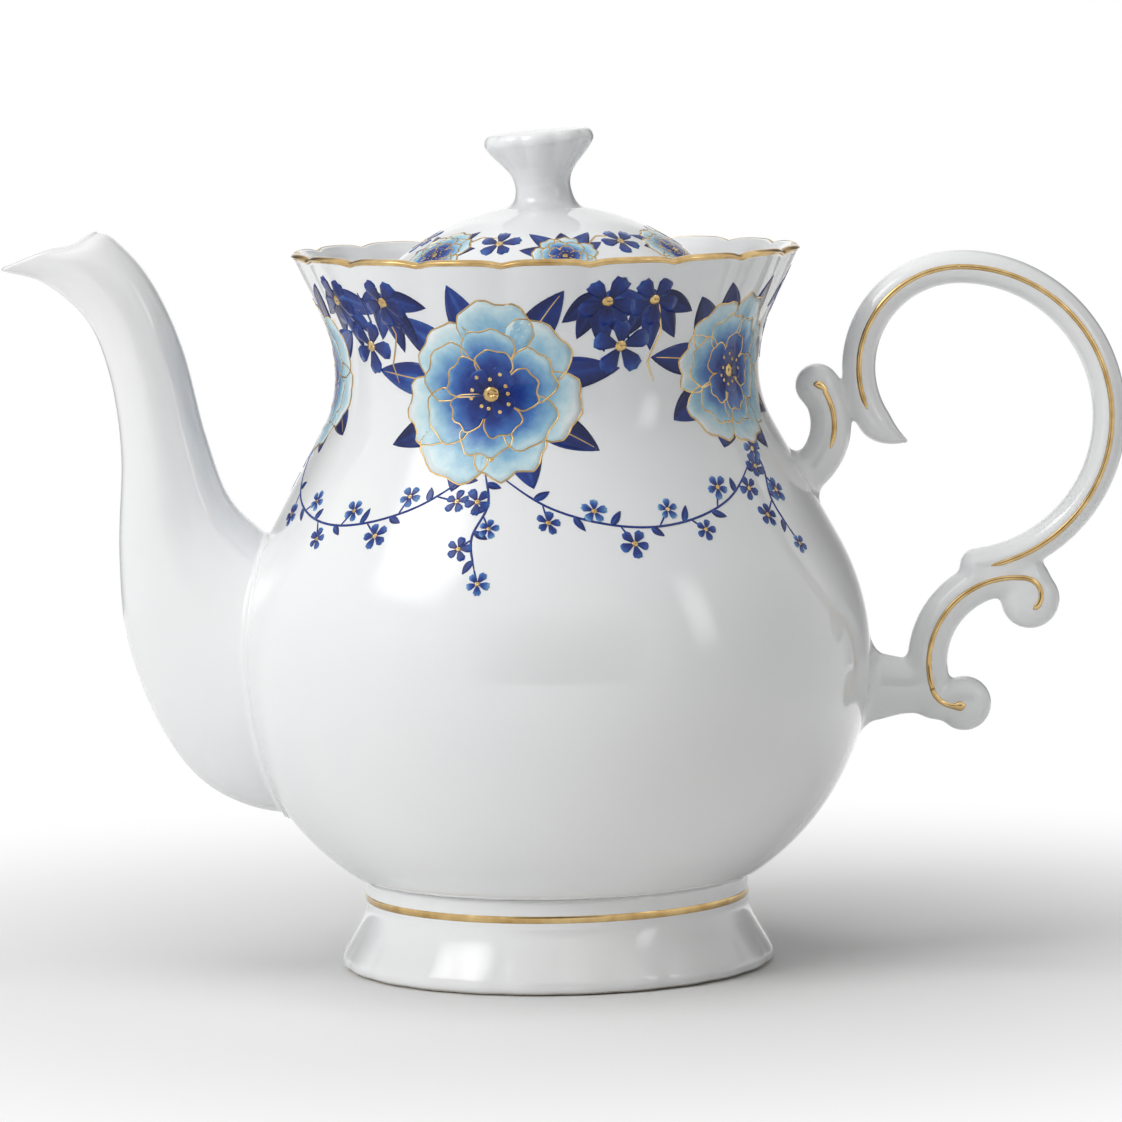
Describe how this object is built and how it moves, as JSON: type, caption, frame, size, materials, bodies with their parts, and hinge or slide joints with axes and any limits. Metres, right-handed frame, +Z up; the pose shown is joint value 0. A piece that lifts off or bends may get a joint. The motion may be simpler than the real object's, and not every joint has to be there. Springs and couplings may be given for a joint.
{
  "type": "porcelain teapot",
  "caption": "Footed porcelain teapot with a scalloped collar, swan-neck spout, scrolled ring handle, gilded edges and a domed lift-off lid with a trumpet knob.",
  "frame": {"origin": "centre of the foot's resting ring, on the pot's axis", "axes": "+Z up along the pot's axis, -X toward the spout, +X toward the handle"},
  "size_m": [0.2509, 0.1428, 0.1877],
  "materials": {
    "porcelain": "glossy clear glaze over white body",
    "gilding": "bright fired gold"
  },
  "bodies": {
    "pot": {"pot_body": "porcelain", "pot_collar": "porcelain", "pedestal_foot": "porcelain", "spout": "porcelain", "spout_neck": "porcelain", "handle": "porcelain", "rim_gilding": "gilding", "foot_gilding": "gilding", "loop_gilding": "gilding", "upper_gilding": "gilding", "lower_gilding": "gilding"},
    "lid": {"lid_shell": "porcelain", "lid_skirt": "porcelain", "lid_knob": "porcelain"}
  },
  "joints": [
    {"name": "lid_lift", "type": "slide", "parent": "pot", "child": "lid", "axis": [0, 0, 1], "range_m": [0, 0.08]}
  ]
}
